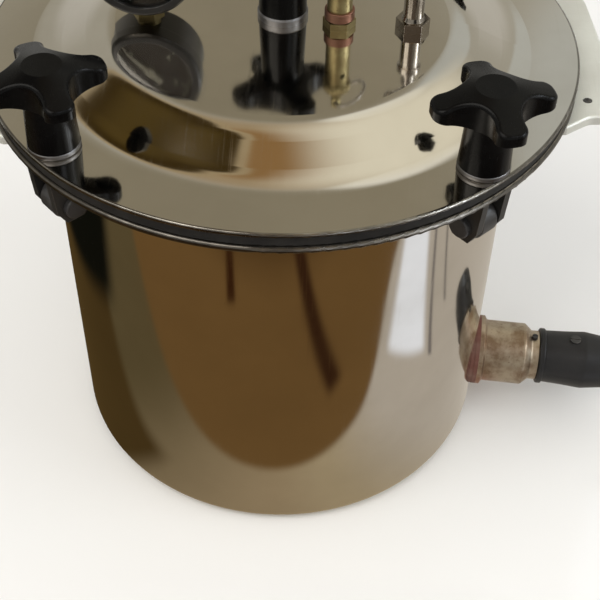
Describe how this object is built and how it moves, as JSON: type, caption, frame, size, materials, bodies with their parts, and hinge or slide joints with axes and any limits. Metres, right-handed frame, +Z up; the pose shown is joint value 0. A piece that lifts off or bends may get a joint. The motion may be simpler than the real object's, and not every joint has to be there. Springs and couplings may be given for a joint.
{
  "type": "benchtop autoclave",
  "caption": "Portable electric steam autoclave: polished steel pot with heater socket, clamped lid with star knobs, gauge, relief valve, exhaust cock, basket and trivet.",
  "frame": {"origin": "centre of the vessel's flat base, on the surface it stands on", "axes": "+Z up along the vessel, -Y towards the user and the gauge's face, the heater socket 4 degrees round from +X towards -Y"},
  "size_m": [0.3872, 0.305, 0.3318],
  "materials": {
    "black_bakelite": "polished black phenolic moulding",
    "black_oxide": "oiled black-oxide steel",
    "black_rubber": "black silicone rubber",
    "brass": "turned brass",
    "ceramic": "unglazed ceramic",
    "chrome": "bright chrome plate",
    "clear_glass": "flat glass",
    "copper_washer": "reddish fibre and copper sealing collar",
    "dark_chrome": "dark aged chrome plate",
    "dark_iron": "dark enamelled steel casting",
    "dial_black": "black printed dial with pale marks",
    "dial_marks": "pale printed marks and pointer",
    "flange_steel": "turned and polished stainless steel",
    "gauge_black": "black stove enamel",
    "heater_sheath": "heat-tinted sheath",
    "nickel_brass": "nickel-plated brass worn through to a warm tint",
    "plug_bakelite": "satin black phenolic moulding",
    "polished_steel": "mirror polished stainless steel",
    "red_seal": "red fibre sealing ring",
    "satin_steel": "satin stainless steel",
    "spring_steel": "spring wire",
    "zinc_steel": "zinc-plated steel"
  },
  "bodies": {
    "vessel": {"vessel_shell": "polished_steel", "vessel_flange": "flange_steel", "clamp_brackets": "dark_iron", "clamp_studs": "black_oxide", "bracket_pins": "black_oxide", "side_handle_right": "satin_steel", "side_handle_left": "satin_steel", "handle_rivets": "satin_steel", "heater_head": "brass", "heater_seals": "red_seal", "heater_backnut": "brass", "heater_shroud": "nickel_brass", "shroud_cap": "nickel_brass", "shroud_screw": "zinc_steel", "terminal_block": "ceramic", "terminal_pins": "brass", "heater_element": "heater_sheath"},
    "plug": {"plug_body": "plug_bakelite", "plug_collar": "plug_bakelite", "plug_contacts": "brass", "plug_screw": "zinc_steel"},
    "trivet": {"trivet": "satin_steel"},
    "basket": {"basket": "satin_steel", "bail_rivets": "satin_steel"},
    "bail": {"basket_bail": "satin_steel"},
    "lid": {"lid_shell": "polished_steel", "lid_gasket": "black_rubber", "fitting_nuts": "brass", "lid_knob": "black_bakelite", "lid_knob_ferrule": "chrome", "lid_knob_stud": "zinc_steel", "lid_knob_nut": "zinc_steel", "gauge_case": "gauge_black", "gauge_bezel": "gauge_black", "gauge_glass": "clear_glass", "gauge_dial": "dial_black", "bourdon_tube": "brass", "gauge_stem": "brass", "valve_body": "brass", "valve_collar": "copper_washer", "valve_cap": "brass", "valve_spring": "spring_steel", "petcock_body": "dark_chrome"},
    "pointer": {"gauge_pointer": "dial_marks"},
    "relief_spindle": {"valve_spindle": "brass"},
    "pull_ring": {"valve_ring": "zinc_steel"},
    "petcock_handle": {"petcock_handle": "dark_chrome"},
    "clamp_washer_1": {"knob_washer_1": "chrome"},
    "clamp_knob_1": {"star_knob_1": "black_bakelite", "knob_insert_1": "brass"},
    "clamp_washer_2": {"knob_washer_2": "chrome"},
    "clamp_knob_2": {"star_knob_2": "black_bakelite", "knob_insert_2": "brass"},
    "clamp_washer_3": {"knob_washer_3": "chrome"},
    "clamp_knob_3": {"star_knob_3": "black_bakelite", "knob_insert_3": "brass"},
    "clamp_washer_4": {"knob_washer_4": "chrome"},
    "clamp_knob_4": {"star_knob_4": "black_bakelite", "knob_insert_4": "brass"}
  },
  "joints": [
    {"name": "lid_lift", "type": "slide", "parent": "vessel", "child": "lid", "axis": [0, 0, 1], "range_m": [0, 0.4]},
    {"name": "plug_pull", "type": "slide", "parent": "vessel", "child": "plug", "axis": [0.9976, -0.0698, 0], "range_m": [0, 0.04]},
    {"name": "trivet_lift", "type": "slide", "parent": "vessel", "child": "trivet", "axis": [0, 0, 1], "range_m": [0, 0.09]},
    {"name": "basket_lift", "type": "slide", "parent": "vessel", "child": "basket", "axis": [0, 0, 1], "range_m": [0, 0.19]},
    {"name": "bail_swing", "type": "hinge", "parent": "basket", "child": "bail", "pos_m": [0, 0, 0.197], "axis": [0, -1, 0], "range_deg": [0, 180]},
    {"name": "pointer_turn", "type": "hinge", "parent": "lid", "child": "pointer", "pos_m": [-0.069, 0, 0.304], "axis": [0, 1, 0], "range_deg": [0, 270], "stiffness_Nm_per_rad": 0.0008},
    {"name": "relief_lift", "type": "slide", "parent": "lid", "child": "relief_spindle", "axis": [0, 0, 1], "range_m": [0, 0.003], "stiffness_N_per_m": 1500, "springref_m": -0.004, "deforming": ["valve_spring"]},
    {"name": "ring_swing", "type": "hinge", "parent": "relief_spindle", "child": "pull_ring", "pos_m": [0.029, -0.007, 0.3185], "axis": [0, -1, 0], "range_deg": [0, 125]},
    {"name": "petcock_turn", "type": "hinge", "parent": "lid", "child": "petcock_handle", "pos_m": [0.066, -0.006, 0.3], "axis": [0, 0, 1], "range_deg": [0, 90]},
    {"name": "knob_1_travel", "type": "slide", "parent": "lid", "child": "clamp_washer_1", "axis": [0, 0, 1], "range_m": [0, 0.0225]},
    {"name": "knob_1_turn", "type": "hinge", "parent": "clamp_washer_1", "child": "clamp_knob_1", "pos_m": [0.09899, 0.09899, 0.28], "axis": [0, 0, 1], "range_deg": [0, 5400]},
    {"name": "knob_2_travel", "type": "slide", "parent": "lid", "child": "clamp_washer_2", "axis": [0, 0, 1], "range_m": [0, 0.0225]},
    {"name": "knob_2_turn", "type": "hinge", "parent": "clamp_washer_2", "child": "clamp_knob_2", "pos_m": [-0.09899, 0.09899, 0.28], "axis": [0, 0, 1], "range_deg": [0, 5400]},
    {"name": "knob_3_travel", "type": "slide", "parent": "lid", "child": "clamp_washer_3", "axis": [0, 0, 1], "range_m": [0, 0.0225]},
    {"name": "knob_3_turn", "type": "hinge", "parent": "clamp_washer_3", "child": "clamp_knob_3", "pos_m": [-0.09899, -0.09899, 0.28], "axis": [0, 0, 1], "range_deg": [0, 5400]},
    {"name": "knob_4_travel", "type": "slide", "parent": "lid", "child": "clamp_washer_4", "axis": [0, 0, 1], "range_m": [0, 0.0225]},
    {"name": "knob_4_turn", "type": "hinge", "parent": "clamp_washer_4", "child": "clamp_knob_4", "pos_m": [0.09899, -0.09899, 0.28], "axis": [0, 0, 1], "range_deg": [0, 5400]}
  ],
  "couplings": [
    {"joint": "basket_lift", "follows": "lid_lift", "ratio": 0.45},
    {"joint": "trivet_lift", "follows": "lid_lift", "ratio": 0.2},
    {"joint": "knob_1_travel", "follows": "knob_1_turn", "m_per_rad": 0.00023873},
    {"joint": "knob_2_travel", "follows": "knob_2_turn", "m_per_rad": 0.00023873},
    {"joint": "knob_3_travel", "follows": "knob_3_turn", "m_per_rad": 0.00023873},
    {"joint": "knob_4_travel", "follows": "knob_4_turn", "m_per_rad": 0.00023873}
  ]
}
